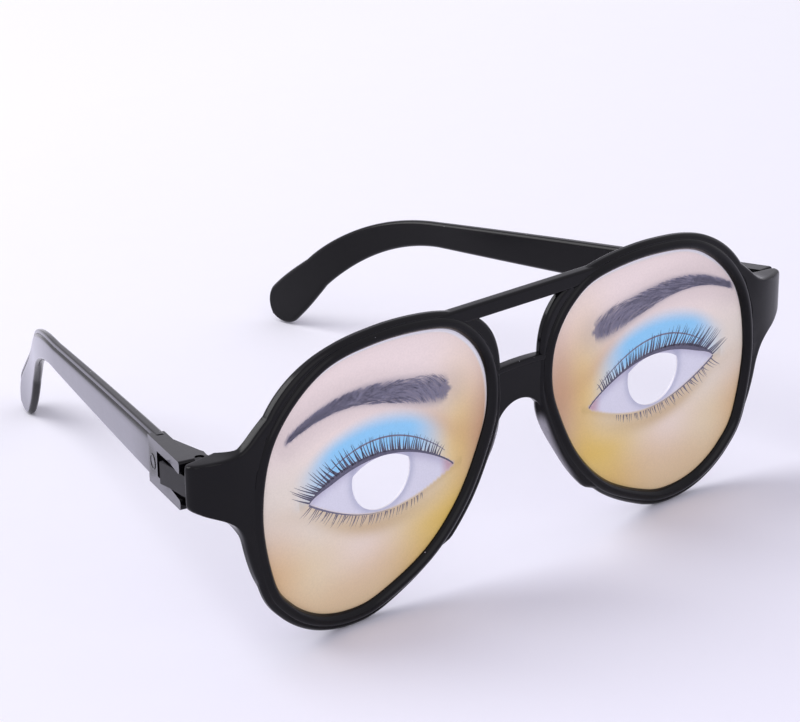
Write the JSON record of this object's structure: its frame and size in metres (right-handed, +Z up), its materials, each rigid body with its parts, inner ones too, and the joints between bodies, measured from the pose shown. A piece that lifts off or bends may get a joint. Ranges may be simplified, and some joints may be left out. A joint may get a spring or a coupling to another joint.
{
  "type": "costume glasses",
  "caption": "Aviator-style costume glasses with a straight brow bar, printed eye inserts cut through for sight, and folding temples on moulded snap hinges.",
  "frame": {"origin": "middle of the bounding box on the floor that the rims and the left temple's tip rest on", "axes": "+X to the wearer's left, seen from the front to the right; +Y back along the temples; +Z up; the front looks towards -Y"},
  "size_m": [0.1464, 0.1453, 0.0568],
  "materials": {
    "black_plastic": "injection-moulded black polystyrene, softly glossy",
    "printed_sheet": "thin white plastic sheet printed with a made-up eye"
  },
  "bodies": {
    "front": {"front_frame": "black_plastic", "left_eye_insert": "printed_sheet", "right_eye_insert": "printed_sheet"},
    "left_temple": {"left_temple": "black_plastic"},
    "right_temple": {"right_temple": "black_plastic"}
  },
  "joints": [
    {"name": "left_temple_fold", "type": "hinge", "parent": "front", "child": "left_temple", "pos_m": [-0.0684, -0.06423, 0.03554], "axis": [0, 0.0393, -0.9992], "range_deg": [-12.2, 72]},
    {"name": "right_temple_fold", "type": "hinge", "parent": "front", "child": "right_temple", "pos_m": [0.0684, -0.06423, 0.03554], "axis": [0, -0.0393, 0.9992], "range_deg": [-1.8, 77.4]}
  ]
}
